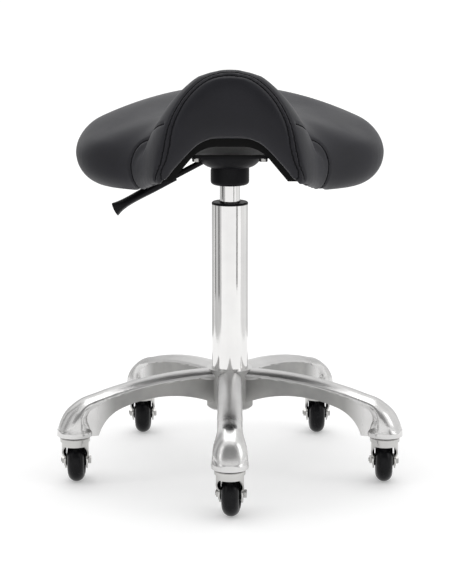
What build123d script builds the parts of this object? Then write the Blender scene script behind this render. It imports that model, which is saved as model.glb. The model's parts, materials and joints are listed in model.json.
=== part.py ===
from build123d import *
from collections import namedtuple
from math import acos, asin, atan2, cos, degrees, radians, sin, sqrt
import os

# Saddle stool in millimetres: +Z is up, the origin is on the floor under the column,
# and the front of the seat looks along -Y.

# Clearances
FIT_GAP = 0.1  # radial gap of a piece pushed into its seat
RUN_GAP = 0.06  # radial gap of a shaft that turns or slides in its bore
TURN_GAP = 0.3  # gap between faces that turn or move past each other
SOFT_GAP = 0.5  # gap between the seat pan and the cushion on it

# Castors
CASTOR_YAWS = (6, 3, 0, 0, 0)  # degrees from straight back, first castor at the front
WHEEL_DIAMETER = 60
WHEEL_WIDTH = 24
CORE_DIAMETER = 39
CORE_WEB = 9
CORE_BOSS_DIAMETER = 17
CASTOR_TRAIL = 20  # from the stem axis back to the axle
AXLE_DIAMETER = 6
SLEEVE_DIAMETER = 10
AXLE_HEX = 10  # across flats
AXLE_HEX_HEIGHT = 4.5
FORK_SHEET = 2
FORK_SIDE_GAP = 1.6  # from the tyre's side to the fork's arm
FORK_DIAMETER = 37
FORK_SKIRT = 6.4
FORK_EYE_DIAMETER = 24
FORK_ARM_FRONT = 12  # an arm's front edge before the stem axis, where it leaves the skirt
FORK_ARM_REAR = 17  # an arm's rear edge behind the stem axis, at the crown
CROWN_GAP = 1.4  # from the top of the wheel to the fork's crown
BALL_DIAMETER = 3
BALL_COUNT = 8
BALL_CIRCLE = 26
CAP_DIAMETER = 41
CAP_SHEET = 1.5
CAP_SKIRT = 5.5
DUST_WASHER = 2.5
KINGPIN_DIAMETER = 8
RIVET_DIAMETER = 13
RIVET_HEIGHT = 2
STEM_DIAMETER = 11
STEM_LENGTH = 38
GRIP_RING_HEIGHT = 3
GRIP_RING_SHEET = 0.9
GRIP_RING_LEVEL = 28  # above the foot's underside

# Base casting
LEG_COUNT = 5
LEG_REACH = 223  # from the column axis to a castor stem
HUB_DIAMETER = 64
HUB_HEIGHT = 57
HUB_LIFT = 22  # hub's underside above the feet's undersides
HUB_EDGE = 2.5
LEG_WIDTH = 33
LEG_CROWN = 8.5  # height of the rounded top of a leg
LEG_LIP = 1.5
WEB_INSET = 2
WEB_WALL = 4
RIDGE_START = 40  # the leg's top is level up to here
LEG_DROP = 27  # from the hub's top to the leg's top at the shoulder
FOOT_SHOULDER = 18  # from the castor stem back to where the foot falls away
ARCH_HEIGHT = 25  # highest point of the leg's underside above the hub's underside
ARCH_CREST = 84  # radius of that point
ARCH_SPRING = 9  # underside at the hub, above the hub's underside
ARCH_FALL = 160  # radius where the underside turns down to the foot
ARCH_FALL_DROP = 11  # underside's fall from the crest to that radius
FOOT_HEEL = 30  # from the castor stem back to the foot's inner edge
FOOT_DIAMETER = 49
FOOT_DRAFT = 3.8  # lean of the foot's toe and heel, up to the point that the knee bends about
FOOT_FLARE = 0.86  # share of the foot's flare that is left at that point
KNEE_BACK = 27  # from the castor stem back to that point
KNEE_RISE = 17  # height of that point above the foot's underside
KNEE_DEPTH = 17  # from that point up to the underside of the leg's cap
KNEE_FULLNESS = 1.52  # outline of the knee: 1 is a straight slope, 2 an ellipse
POCKET_TOP = 11  # metal left over the hollow of a leg
POCKET_START = 44
POCKET_END = 46  # from the castor stem back to the end of the hollow

# Gas lift
TUBE_DIAMETER = 50
TUBE_WALL = 2
TUBE_VISIBLE = 230  # from the hub's top to the tube's top
TUBE_TAPER = 0.8  # radius lost over the length held in the hub
TUBE_END = 3
BUSH_LENGTH = 85
BUSH_RIM = 3
CYLINDER_DIAMETER = 28
CYLINDER_BORE = 24.6
CYLINDER_VISIBLE = 24  # from the bush's rim to the mechanism, seat at its lowest
CYLINDER_TAPER = 0.8  # radius lost over the length held in the socket
CYLINDER_SEAT = 35
CYLINDER_HEAD = 17
GLAND_LENGTH = 15
ROD_DIAMETER = 10
ROD_TAIL = 7  # rod's length under the tube
ROD_SPIGOT_DIAMETER = 7
PISTON_LENGTH = 12
STROKE = 190
THRUST_WASHER = 2
THRUST_WASHER_DIAMETER = 28
THRUST_BALL_DIAMETER = 4
THRUST_BALL_CIRCLE = 19
BUFFER_HEIGHT = 14
BUFFER_DIAMETER = 30
END_WASHER = 2.4
END_WASHER_DIAMETER = 24
CLIP_SHEET = 1.8
CLIP_DIAMETER = 17
CLIP_GROOVE = 1.2  # depth of the clip's groove in the rod

# Seat mechanism
COLLAR_DIAMETER = 53
COLLAR_HEIGHT = 24
BELL_DIAMETER = 88
BELL_HEIGHT = 19
BELL_BULGE = 3.2
COVER_SHEET = 2.5
COVER_ROUND = 5
SOCKET_DIAMETER = 36
PLATE_SIDE = 116
PLATE_ROUND = 14
PLATE_SHEET = 3
BOLT_SPACING = 90
BOLT_DIAMETER = 6
BOLT_HEX = 10
BOLT_HEAD = 4
BOLT_WASHER = 1.6
BOLT_WASHER_DIAMETER = 12.5
TEE_NUT_DIAMETER = 16
TEE_NUT_FLANGE = 1.5
TEE_NUT_BARREL = 8
BUTTON_DIAMETER = 8
BUTTON_RISE = 3.2  # above the cylinder's top
BUTTON_DOME = 9  # radius of its rounded top
BUTTON_GAP = 0.25
LEVER_PIVOT = 26  # pin's distance from the column axis
LEVER_PIN_DIAMETER = 5
LEVER_PIN_DEPTH = 5.5  # pin's axis under the mounting plate
LEVER_BOSS_DIAMETER = 10
LEVER_BOSS_WIDTH = 11
LEVER_ARM_SHEET = 4
LEVER_ARM_WIDTH = 10
LEVER_ROD_DIAMETER = 8
LEVER_ROD_LENGTH = 106
LEVER_SLOPE = 28  # degrees under level
LEVER_SLOT = 13
EAR_SHEET = 3
EAR_WIDTH = 12
EAR_DEPTH = 10
PADDLE_START = 56  # along the rod from its pin
PADDLE_LENGTH = 94
PADDLE_WIDTH = 36
PADDLE_DROOP = 2  # tip's fall under the rod's line
PADDLE_TIP = 19  # thickness of the tip
PADDLE_SOCKET = 2.5  # plastic around the rod

# Seat
PAN_SHEET = 10.5
PAN_PAD = 120  # side of the flat pad for the mounting plate
PAN_PAD_HEIGHT = 1.5
PAN_DROP = 34  # pan's lower edges under its top
PAN_FRONT = -138
PAN_REAR = 146
HEM = 4  # flat strip along the cushion's lower edge
# Cross-sections of the cushion, front to rear: place along Y, heights over the pan's top
# of the crown, widest point, lower edge and underside, half widths at the widest point,
# lower edge and level underside, the crown's radius, and how far the underside's shoulder
# is round: 1 is one arc down to the lower edge, less leaves a straight flank
Station = namedtuple("Station", "y crown wide low under half edge flat radius shoulder")
STATIONS = (
    Station(-166, 101, -27, -37, 24, 93, 90, 14, 57, 0.6),
    Station(-152, 112, -28, -40, 24, 101, 96, 14, 66, 0.62),
    Station(-110, 92, -33, -49, 13, 116, 107, 30, 104, 0.8),
    Station(-62, 64, -35, -60, 1, 138, 122, 58, 150, 0.95),
    Station(-30, 52, -31, -63, 0, 172, 143, 62, 260, 0.97),
    Station(5, 48, -26, -63, 0, 201, 161, 62, 400, 0.97),
    Station(55, 52, -23, -62, 0, 215, 169, 62, 480, 0.97),
    Station(105, 62, -20, -56, 3, 211, 166, 60, 450, 0.97),
    Station(140, 63, -12, -44, 7, 193, 152, 54, 380, 0.97),
    Station(166, 57, 0, -26, 11, 163, 131, 46, 330, 0.97),
    Station(180, 47, 4, -16, 13, 138, 112, 42, 300, 0.97),
    Station(189, 34, 7, -9, 14, 108, 88, 36, 260, 0.97),
)

# Levels from the floor up
AXLE_Z = WHEEL_DIAMETER / 2
CROWN_Z = WHEEL_DIAMETER + CROWN_GAP
RACE_Z = CROWN_Z + FORK_SHEET
CAP_Z = RACE_Z + BALL_DIAMETER + 2 * TURN_GAP
WASHER_Z = CAP_Z + CAP_SHEET
FOOT_Z = WASHER_Z + DUST_WASHER
HUB_Z = FOOT_Z + HUB_LIFT
HUB_TOP = HUB_Z + HUB_HEIGHT
TUBE_TOP = HUB_TOP + TUBE_VISIBLE
THRUST_Z = HUB_Z + TUBE_END
THRUST_BALL_Z = THRUST_Z + THRUST_WASHER + TURN_GAP
BUFFER_Z = THRUST_BALL_Z + THRUST_BALL_DIAMETER + TURN_GAP + THRUST_WASHER
CYLINDER_Z = BUFFER_Z + BUFFER_HEIGHT + TURN_GAP
PISTON_Z = CYLINDER_Z + GLAND_LENGTH + STROKE + 10 * TURN_GAP
COLLAR_Z = TUBE_TOP + BUSH_RIM + CYLINDER_VISIBLE
CYLINDER_TOP = COLLAR_Z + CYLINDER_SEAT
BELL_Z = COLLAR_Z + COLLAR_HEIGHT
PLATE_Z = BELL_Z + BELL_HEIGHT
PAN_Z = PLATE_Z + PLATE_SHEET
PAN_TOP = PAN_Z + PAN_PAD_HEIGHT + PAN_SHEET
CUSHION_Z = PAN_TOP + SOFT_GAP
BUTTON_TOP = CYLINDER_TOP + BUTTON_RISE
LEVER_Z = PLATE_Z - LEVER_PIN_DEPTH


def turned(*points):
    """Solid of revolution about Z from (radius, height) corners."""
    return revolve(Plane.XZ * make_face(Polyline(*points, close=True)), Axis.Z)


def ring(outer, inner, low, high):
    """Plain ring about Z between two heights, given by its radii."""
    return turned((inner, low), (outer, low), (outer, high), (inner, high))


def disc(radius, low, high):
    """Plain cylinder about Z between two heights."""
    return Pos(0, 0, low) * Cylinder(radius, high - low, align=(Align.CENTER, Align.CENTER, Align.MIN))


def block(x0, x1, y0, y1, z0, z1):
    """Box between opposite corners."""
    middle = Pos((x0 + x1) / 2, (y0 + y1) / 2, (z0 + z1) / 2)
    return middle * Box(x1 - x0, y1 - y0, z1 - z0)


def along_x(shape):
    """Turn a piece made about Z so that it lies about X."""
    return Rot(0, 90, 0) * shape


def along_y(shape):
    """Turn a piece made about Z so that it lies about Y."""
    return Rot(-90, 0, 0) * shape


def hexagon(across, low, high):
    """Hexagonal prism about Z with slightly rounded ends."""
    prism = Pos(0, 0, low) * extrude(RegularPolygon(across / 2, 6, major_radius=False), high - low)
    corner = across / sqrt(3)
    crown = turned((0, low), (corner - 0.7, low), (corner, low + 0.5), (corner, high - 0.5),
                   (corner - 0.7, high), (0, high))
    return prism & crown


def arc(centre, radius, start, end):
    """Circular arc about a centre, between two angles in degrees."""
    places = [radians(start), radians((start + end) / 2), radians(end)]
    return ThreePointArc(*[(centre[0] + radius * cos(a), centre[1] + radius * sin(a)) for a in places])


def arched(half, crown, wide, radius):
    """Right half of a smooth arch: tangent point, centre and radius of the side arc, its start angle."""
    rise = crown - wide
    side = (half ** 2 + rise ** 2 - 2 * rise * radius) / (2 * (half - radius))
    top = (0, crown - radius)
    centre = (half - side, wide)
    sign = 1 if radius > side else -1
    lean = degrees(atan2(sign * (centre[1] - top[1]), sign * (centre[0] - top[0])))
    return top, centre, side, lean


# Castors

ARM_INNER = WHEEL_WIDTH / 2 + FORK_SIDE_GAP
ARM_OUTER = ARM_INNER + FORK_SHEET
FORK_RADIUS = FORK_DIAMETER / 2


def castor_places():
    """Place of each castor: origin on the floor under its stem, wheel trailing along local +Y."""
    places = []
    for n, yaw in enumerate(CASTOR_YAWS[:LEG_COUNT]):
        turn = 360 / LEG_COUNT * n
        places.append(Rot(0, 0, turn) * Pos(0, -LEG_REACH, 0) * Rot(0, 0, -turn - yaw))
    return places


def fork_path(radius, half):
    """Plan of the fork's sheet: round at the front, with straight sides past the axle."""
    reach = CASTOR_TRAIL + FORK_EYE_DIAMETER
    lean = degrees(acos(half / radius))
    right = arc((0, 0), radius, lean, -90)
    left = arc((0, 0), radius, -90, -180 - lean)
    return [Line((half, reach), right @ 0), right, left, Line(left @ 1, (-half, reach))]


def fork_side():
    """Side view of the fork's sheet: a skirt with an arm that tapers to the axle eye."""
    hem = RACE_Z - FORK_SKIRT
    eye = FORK_EYE_DIAMETER / 2
    waist = AXLE_Z + eye / 2
    half = eye * cos(asin(0.5))
    front = -FORK_ARM_FRONT
    skirt = make_face(Polyline((-FORK_DIAMETER, hem), (0, hem), (0, RACE_Z), (-FORK_DIAMETER, RACE_Z),
                               close=True))
    arm = make_face(Polyline((front, hem), (CASTOR_TRAIL - half, waist), (CASTOR_TRAIL + half, waist),
                             (FORK_ARM_REAR, RACE_Z), (front, RACE_Z), close=True))
    return skirt + arm + Pos(CASTOR_TRAIL, AXLE_Z) * Circle(eye)


def castor_fork():
    """Pressed fork: round crown, skirt open towards the wheel, and two arms with axle holes."""
    outer = fork_path(FORK_RADIUS, ARM_OUTER)
    inner = fork_path(FORK_RADIUS - FORK_SHEET, ARM_INNER)
    ends = [Line(outer[0] @ 0, inner[0] @ 0), Line(outer[-1] @ 1, inner[-1] @ 1)]
    sheet = extrude(make_face(outer + inner + ends), CROWN_Z + FORK_SHEET / 2)
    sheet &= Plane.YZ * extrude(fork_side(), FORK_DIAMETER, both=True)
    fork = sheet + disc(FORK_RADIUS, CROWN_Z, RACE_Z)
    fork -= disc(KINGPIN_DIAMETER / 2 + RUN_GAP, CROWN_Z, RACE_Z)
    hole = along_x(disc(AXLE_DIAMETER / 2 + FIT_GAP, -FORK_DIAMETER, FORK_DIAMETER))
    return fork - Pos(0, CASTOR_TRAIL, AXLE_Z) * hole


def castor_axle():
    """Axle bolt with its head on one side and its nut on the other."""
    reach = ARM_OUTER + AXLE_HEX_HEIGHT
    bolt = disc(AXLE_DIAMETER / 2, -reach - 1.2, ARM_OUTER) + hexagon(AXLE_HEX, ARM_OUTER, reach)
    nut = hexagon(AXLE_HEX, -reach, -ARM_OUTER) - disc(AXLE_DIAMETER / 2 + FIT_GAP, -2 * reach, 0)
    place = Pos(0, CASTOR_TRAIL, AXLE_Z)
    return [place * along_x(bolt), place * along_x(nut)]


def castor_sleeve():
    """Sleeve clamped between the fork's arms, on which the wheel turns."""
    sleeve = ring(SLEEVE_DIAMETER / 2, AXLE_DIAMETER / 2 + FIT_GAP, -ARM_INNER, ARM_INNER)
    return Pos(0, CASTOR_TRAIL, AXLE_Z) * along_x(sleeve)


def wheel_core():
    """Moulded wheel core with a boss that runs on the sleeve."""
    rim = CORE_DIAMETER / 2
    bore = SLEEVE_DIAMETER / 2 + RUN_GAP
    boss = CORE_BOSS_DIAMETER / 2
    half = WHEEL_WIDTH / 2 - 1.5
    end = ARM_INNER - TURN_GAP
    web = CORE_WEB / 2
    core = turned((bore, -end), (boss, -end), (boss, -web), (rim - 3, -web), (rim - 3, -half), (rim, -half),
                  (rim, half), (rim - 3, half), (rim - 3, web), (boss, web), (boss, end), (bore, end))
    return Pos(0, CASTOR_TRAIL, AXLE_Z) * along_x(core)


def tyre():
    """Fully rounded tyre."""
    inner = CORE_DIAMETER / 2 + FIT_GAP
    half = WHEEL_WIDTH / 2 - 0.4
    tread = ThreePointArc((inner, -half), (WHEEL_DIAMETER / 2, 0), (inner, half))
    profile = Plane.XZ * make_face([tread, Line((inner, half), (inner, -half))])
    return Pos(0, CASTOR_TRAIL, AXLE_Z) * along_x(revolve(profile, Axis.Z))


def castor_stem():
    """Stem in the foot, with the kingpin riveted under the fork's crown."""
    pin = KINGPIN_DIAMETER / 2
    stem = STEM_DIAMETER / 2
    head = CROWN_Z - TURN_GAP
    top = FOOT_Z + STEM_LENGTH
    groove = FOOT_Z + GRIP_RING_LEVEL
    waist = stem - GRIP_RING_SHEET - FIT_GAP
    rivet = RIVET_DIAMETER / 2
    return turned((0, head - RIVET_HEIGHT), (rivet, head - RIVET_HEIGHT), (rivet, head),
                  (pin, head), (pin, WASHER_Z), (stem, WASHER_Z), (stem, groove - FIT_GAP),
                  (waist, groove - FIT_GAP), (waist, groove + GRIP_RING_HEIGHT + FIT_GAP),
                  (stem, groove + GRIP_RING_HEIGHT + FIT_GAP), (stem, top - 1), (stem - 1, top), (0, top))


def grip_ring():
    """Split spring ring in the stem's groove."""
    stem = STEM_DIAMETER / 2
    low = FOOT_Z + GRIP_RING_LEVEL
    band = ring(stem, stem - GRIP_RING_SHEET, low, low + GRIP_RING_HEIGHT)
    return band - block(0, STEM_DIAMETER, -0.6, 0.6, low, low + GRIP_RING_HEIGHT)


def race_cap():
    """Pressed cap over the balls, with a skirt round the fork's crown."""
    outer = CAP_DIAMETER / 2
    return turned((KINGPIN_DIAMETER / 2 + FIT_GAP, CAP_Z), (outer - CAP_SHEET, CAP_Z),
                  (outer - CAP_SHEET, WASHER_Z - CAP_SKIRT), (outer, WASHER_Z - CAP_SKIRT),
                  (outer, WASHER_Z - 1), (outer - 1, WASHER_Z), (KINGPIN_DIAMETER / 2 + FIT_GAP, WASHER_Z))


def castor_balls():
    """Ring of balls between crown and cap."""
    spots = PolarLocations(BALL_CIRCLE / 2, BALL_COUNT)
    level = Pos(0, 0, RACE_Z + TURN_GAP + BALL_DIAMETER / 2)
    return [level * spot * Sphere(BALL_DIAMETER / 2) for spot in spots]


def dust_washer():
    """Dark washer between cap and foot."""
    return ring(FORK_RADIUS, STEM_DIAMETER / 2 + FIT_GAP, WASHER_Z, FOOT_Z)


# Base casting

def ridge(r):
    """Height of a leg's top at a distance from the column axis."""
    span = LEG_REACH - FOOT_SHOULDER - RIDGE_START
    radius = (span ** 2 + LEG_DROP ** 2) / (2 * LEG_DROP)
    run = max(r - RIDGE_START, 0)
    return HUB_TOP - radius + sqrt(radius ** 2 - run ** 2)


def bow(half, rise, ease):
    """Right half of a smooth arch: crown radius and centre, side centre and radius, angle between them."""
    if abs(rise - half) < half / 50:
        return half, 0, 0, half, 45
    radius = half * 0.97 if rise > half else ease * (half ** 2 + rise ** 2) / (2 * rise)
    top, centre, side, start = arched(half, rise, 0, radius)
    return radius, top[1], centre[0], side, start


def arm_section(r, z, lean, top, low, half):
    """Cut across a leg in a plane that leans from upright: round top, straight lip or round underside."""
    share = sin(radians(lean)) ** 2
    crown = LEG_CROWN + ((top - low) / 2 - LEG_CROWN) * share
    wide = top - crown
    over, drop, side, turn, start = bow(half, crown, 1.18 - 0.15 * share)
    edges = [arc((side, wide), turn, 0, start), arc((0, wide + drop), over, start, 180 - start),
             arc((-side, wide), turn, 180 - start, 180)]
    if wide - low > LEG_CROWN / 2:
        under, lift, side, turn, start = bow(half, wide - low, 1.12 - 0.09 * share)
        edges += [arc((-side, wide), turn, 180, 180 + start),
                  arc((0, wide - lift), under, 180 + start, 360 - start),
                  arc((side, wide), turn, 360 - start, 360)]
    else:
        edges += [Line((-half, wide), (-half, low)), Line((-half, low), (half, low)),
                  Line((half, low), (half, wide))]
    tilt = radians(lean)
    return Plane((0, -r, z), (1, 0, 0), (0, -cos(tilt), -sin(tilt))) * make_face(edges)


def leg_arm():
    """Top of the front leg as one flowing form: level cap, bent knee, flared round foot."""
    half = LEG_WIDTH / 2
    radius = FOOT_DIAMETER / 2
    knee = LEG_REACH - KNEE_BACK
    cuts = []
    for share in (0.1, 0.25, 0.4, 0.55, 0.7, 0.82, 0.92):
        top = ridge(knee * share)
        cuts.append((knee * share, 0, 0, top, top - LEG_CROWN - LEG_LIP, half))
    rise = ridge(knee) - FOOT_Z - KNEE_RISE
    reach = KNEE_BACK + radius - FOOT_DRAFT
    heel = KNEE_BACK - radius + FOOT_DRAFT
    for lean in (0, 24, 47, 69, 90):
        up = cos(radians(lean)) / rise
        out = sin(radians(lean)) / reach
        far = (up ** KNEE_FULLNESS + out ** KNEE_FULLNESS) ** (-1 / KNEE_FULLNESS)
        near = heel + (KNEE_DEPTH - heel) * (1 - lean / 90)
        flare = FOOT_FLARE * sin(radians(lean)) ** 3
        cuts.append((knee, FOOT_Z + KNEE_RISE, lean, far, near, half + (radius - half) * flare))
    for share in (0.5, 0):
        depth = radius - FOOT_DRAFT * share ** 2
        flare = 1 - (1 - FOOT_FLARE) * share ** 2
        z = FOOT_Z + KNEE_RISE * share
        cuts.append((LEG_REACH, z, 90, depth, -depth, half + (radius - half) * flare))
    return loft([arm_section(*cut) for cut in cuts])


def leg_side(points_from, top_drop):
    """Arc along a leg's side view, a set depth under its top."""
    start, end = points_from
    middle = (start + end) / 2
    return ThreePointArc(*[(r, ridge(r) - top_drop) for r in (start, middle, end)])


def leg_web():
    """Wall under the leg's cap, arched below and running into the foot, with a hollow underneath."""
    start = HUB_DIAMETER / 2 - 8
    end = LEG_REACH - 14
    crest = HUB_Z + ARCH_HEIGHT
    heel = LEG_REACH - FOOT_HEEL
    top = leg_side((start, end), LEG_CROWN - 2)
    bend = (ARCH_FALL, crest - ARCH_FALL_DROP)
    arch = ThreePointArc((start, HUB_Z + ARCH_SPRING), (ARCH_CREST, crest), bend)
    fall = TangentArc(bend, (heel, FOOT_Z), tangent=arch % 1)
    outline = [top, Line(top @ 1, (end, FOOT_Z)), Line((end, FOOT_Z), (heel, FOOT_Z)), fall, arch,
               Line(arch @ 0, top @ 0)]
    half = LEG_WIDTH / 2 - WEB_INSET
    web = extrude(make_face(outline), half, both=True)
    stop = LEG_REACH - POCKET_END
    roof = leg_side((POCKET_START, stop), POCKET_TOP)
    hollow = make_face([roof, Line(roof @ 1, (stop, 0)), Line((stop, 0), (POCKET_START, 0)),
                        Line((POCKET_START, 0), roof @ 0)])
    web -= extrude(hollow, half - WEB_WALL, both=True)
    return Plane((0, 0, 0), (0, -1, 0), (-1, 0, 0)) * web


def base_casting():
    """Hub and five legs, bored for the column and the castor stems."""
    leg = leg_arm() + leg_web()
    leg -= Pos(0, -LEG_REACH, 0) * disc(STEM_DIAMETER / 2 + FIT_GAP, 0, FOOT_Z + STEM_LENGTH + 1)
    hub = disc(HUB_DIAMETER / 2, HUB_Z, HUB_TOP)
    hub = chamfer(hub.edges().sort_by(Axis.Z)[0], HUB_EDGE)
    body = hub
    for n in range(LEG_COUNT):
        body += Rot(0, 0, 360 / LEG_COUNT * n) * leg
    outer = TUBE_DIAMETER / 2 + FIT_GAP
    bore = turned((0, HUB_Z), (outer - TUBE_TAPER, HUB_Z), (outer, HUB_TOP), (outer, HUB_TOP + LEG_DROP),
                  (0, HUB_TOP + LEG_DROP))
    return body - bore - disc(outer - TUBE_TAPER, 0, HUB_Z)


# Gas lift

def column_tube():
    """Outer tube, tapered where the hub holds it, with a plate across its lower end."""
    outer = TUBE_DIAMETER / 2
    inner = outer - TUBE_WALL
    hole = ROD_DIAMETER / 2 + TURN_GAP
    end = HUB_Z + TUBE_END
    return turned((hole, HUB_Z), (outer - TUBE_TAPER, HUB_Z), (outer, HUB_TOP), (outer, TUBE_TOP),
                  (inner, TUBE_TOP), (inner, HUB_TOP), (inner - TUBE_TAPER, end), (hole, end))


def guide_bush():
    """Plastic bush in the top of the tube, with a rim over the tube's edge."""
    outer = TUBE_DIAMETER / 2 - TUBE_WALL - FIT_GAP
    inner = CYLINDER_DIAMETER / 2 + RUN_GAP
    rim = TUBE_DIAMETER / 2
    top = TUBE_TOP + BUSH_RIM
    return turned((inner, TUBE_TOP - BUSH_LENGTH), (outer, TUBE_TOP - BUSH_LENGTH), (outer, TUBE_TOP),
                  (rim, TUBE_TOP), (rim, top - 1), (rim - 1, top), (inner + 1, top), (inner, top - 1))


def thrust_washer(low):
    """Flat race of the lift's bearing."""
    return ring(THRUST_WASHER_DIAMETER / 2, ROD_DIAMETER / 2 + TURN_GAP, low, low + THRUST_WASHER)


def thrust_balls():
    """Balls of the lift's bearing."""
    level = Pos(0, 0, THRUST_BALL_Z + THRUST_BALL_DIAMETER / 2)
    spots = PolarLocations(THRUST_BALL_CIRCLE / 2, BALL_COUNT)
    return [level * spot * Sphere(THRUST_BALL_DIAMETER / 2) for spot in spots]


def rubber_buffer():
    """Bump stop on the piston rod."""
    outer = BUFFER_DIAMETER / 2
    inner = ROD_DIAMETER / 2 + FIT_GAP
    top = BUFFER_Z + BUFFER_HEIGHT
    return turned((inner, BUFFER_Z), (outer, BUFFER_Z), (outer, top - 3), (outer - 3, top), (inner, top))


def clip_level():
    """Underside of the clip, below the washer under the tube."""
    return HUB_Z - TURN_GAP - END_WASHER - CLIP_SHEET


def piston_rod():
    """Rod from the clip under the tube up to the piston."""
    rod = ROD_DIAMETER / 2
    waist = rod - CLIP_GROOVE
    low = clip_level()
    spigot = ROD_SPIGOT_DIAMETER / 2
    tail = HUB_Z - ROD_TAIL
    end = PISTON_Z + PISTON_LENGTH + 1
    return turned((0, tail), (rod - 1, tail), (rod, tail + 1), (rod, low - FIT_GAP), (waist, low - FIT_GAP),
                  (waist, low + CLIP_SHEET + FIT_GAP), (rod, low + CLIP_SHEET + FIT_GAP), (rod, PISTON_Z),
                  (spigot, PISTON_Z), (spigot, end), (0, end))


def retaining_clip():
    """Spring clip in the rod's groove."""
    low = clip_level()
    inner = ROD_DIAMETER / 2 - CLIP_GROOVE + FIT_GAP
    clip = ring(CLIP_DIAMETER / 2, inner, low, low + CLIP_SHEET)
    return clip - block(0, CLIP_DIAMETER, -inner * 0.8, inner * 0.8, low, low + CLIP_SHEET)


def end_washer():
    """Washer between clip and tube."""
    low = clip_level() + CLIP_SHEET
    return ring(END_WASHER_DIAMETER / 2, ROD_DIAMETER / 2 + FIT_GAP, low, low + END_WASHER)


def piston():
    """Piston on the rod's spigot."""
    outer = CYLINDER_BORE / 2 - TURN_GAP
    return ring(outer, ROD_SPIGOT_DIAMETER / 2 + FIT_GAP, PISTON_Z, PISTON_Z + PISTON_LENGTH)


def gas_cylinder():
    """Pressure tube with a tapered, bored head."""
    outer = CYLINDER_DIAMETER / 2
    inner = CYLINDER_BORE / 2
    hole = BUTTON_DIAMETER / 2 + RUN_GAP
    head = CYLINDER_TOP - CYLINDER_HEAD
    return turned((inner, CYLINDER_Z), (outer - 1, CYLINDER_Z), (outer, CYLINDER_Z + 1), (outer, COLLAR_Z),
                  (outer - CYLINDER_TAPER, CYLINDER_TOP), (hole, CYLINDER_TOP), (hole, head), (inner, head))


def cylinder_gland():
    """Rod guide in the lower end of the pressure tube."""
    outer = CYLINDER_BORE / 2 - FIT_GAP
    return ring(outer, ROD_DIAMETER / 2 + RUN_GAP, CYLINDER_Z + 1, CYLINDER_Z + GLAND_LENGTH)


def release_button():
    """Valve pin with a rounded top."""
    radius = BUTTON_DIAMETER / 2
    drop = BUTTON_DOME - sqrt(BUTTON_DOME ** 2 - radius ** 2)
    low = CYLINDER_TOP - CYLINDER_HEAD + 3
    edge = degrees(acos(radius / BUTTON_DOME))
    dome = arc((0, BUTTON_TOP - BUTTON_DOME), BUTTON_DOME, edge, 90)
    wall = BUTTON_TOP - drop
    profile = [Line((0, low), (radius, low)), Line((radius, low), (radius, wall)), dome,
               Line((0, BUTTON_TOP), (0, low))]
    return revolve(Plane.XZ * make_face(profile), Axis.Z)


# Seat mechanism

def bell_cover():
    """Moulded bell over the socket, slotted for the lever."""
    bell = BELL_DIAMETER / 2
    collar = COLLAR_DIAMETER / 2
    inner_bell = bell - COVER_SHEET
    inner = collar - COVER_SHEET
    lip = SOCKET_DIAMETER / 2 + FIT_GAP
    floor = COLLAR_Z + COVER_SHEET
    middle = ((bell + collar) / 2 + BELL_BULGE, (PLATE_Z + BELL_Z) / 2 - BELL_BULGE)
    corner = RadiusArc((collar - COVER_ROUND, COLLAR_Z), (collar, COLLAR_Z + COVER_ROUND), -COVER_ROUND)
    profile = [
        Line((lip, COLLAR_Z), (collar - COVER_ROUND, COLLAR_Z)),
        corner,
        Line((collar, COLLAR_Z + COVER_ROUND), (collar, BELL_Z)),
        ThreePointArc((collar, BELL_Z), middle, (bell, PLATE_Z)),
        Line((bell, PLATE_Z), (inner_bell, PLATE_Z)),
        ThreePointArc((inner_bell, PLATE_Z), (middle[0] - COVER_SHEET, middle[1] + COVER_SHEET / 2),
                      (inner, BELL_Z)),
        Line((inner, BELL_Z), (inner, floor)),
        Line((inner, floor), (lip, floor)),
        Line((lip, floor), (lip, COLLAR_Z)),
    ]
    cover = revolve(Plane.XZ * make_face(profile), Axis.Z)
    half = LEVER_SLOT / 2
    return cover - block(-bell, -SOCKET_DIAMETER / 2, -half, half, BELL_Z - 4, PLATE_Z)


def taper_socket():
    """Steel socket under the mounting plate that grips the pressure tube's taper."""
    outer = SOCKET_DIAMETER / 2
    wide = CYLINDER_DIAMETER / 2 + FIT_GAP
    narrow = wide - CYLINDER_TAPER
    socket = turned((wide, COLLAR_Z), (outer, COLLAR_Z), (outer, PLATE_Z), (narrow, PLATE_Z),
                    (narrow, CYLINDER_TOP))
    half = LEVER_SLOT / 2
    return socket - block(-SOCKET_DIAMETER, 0, -half, half, CYLINDER_TOP - 2, PLATE_Z)


def bolt_spots():
    """Places of the four seat bolts."""
    return GridLocations(BOLT_SPACING, BOLT_SPACING, 2, 2)


def mounting_plate():
    """Plate under the seat, with two ears for the lever's pin."""
    plate = Pos(0, 0, PLATE_Z) * extrude(RectangleRounded(PLATE_SIDE, PLATE_SIDE, PLATE_ROUND), PLATE_SHEET)
    for spot in bolt_spots():
        plate -= spot * disc(BOLT_DIAMETER / 2 + TURN_GAP, PLATE_Z, PAN_Z)
    near = LEVER_BOSS_WIDTH / 2 + TURN_GAP
    middle = -LEVER_PIVOT
    half = EAR_WIDTH / 2
    ear = block(middle - half, middle + half, near, near + EAR_SHEET, PLATE_Z - EAR_DEPTH, PLATE_Z)
    plate += ear
    plate += mirror(ear, Plane.XZ)
    hole = along_y(disc(LEVER_PIN_DIAMETER / 2 + FIT_GAP, -PLATE_SIDE / 4, PLATE_SIDE / 4))
    return plate - Pos(middle, 0, LEVER_Z) * hole


def lever_pin():
    """Pin through the ears and the lever's boss."""
    end = LEVER_BOSS_WIDTH / 2 + TURN_GAP + EAR_SHEET + 0.5
    return Pos(-LEVER_PIVOT, 0, LEVER_Z) * along_y(disc(LEVER_PIN_DIAMETER / 2, -end, end))


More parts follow.
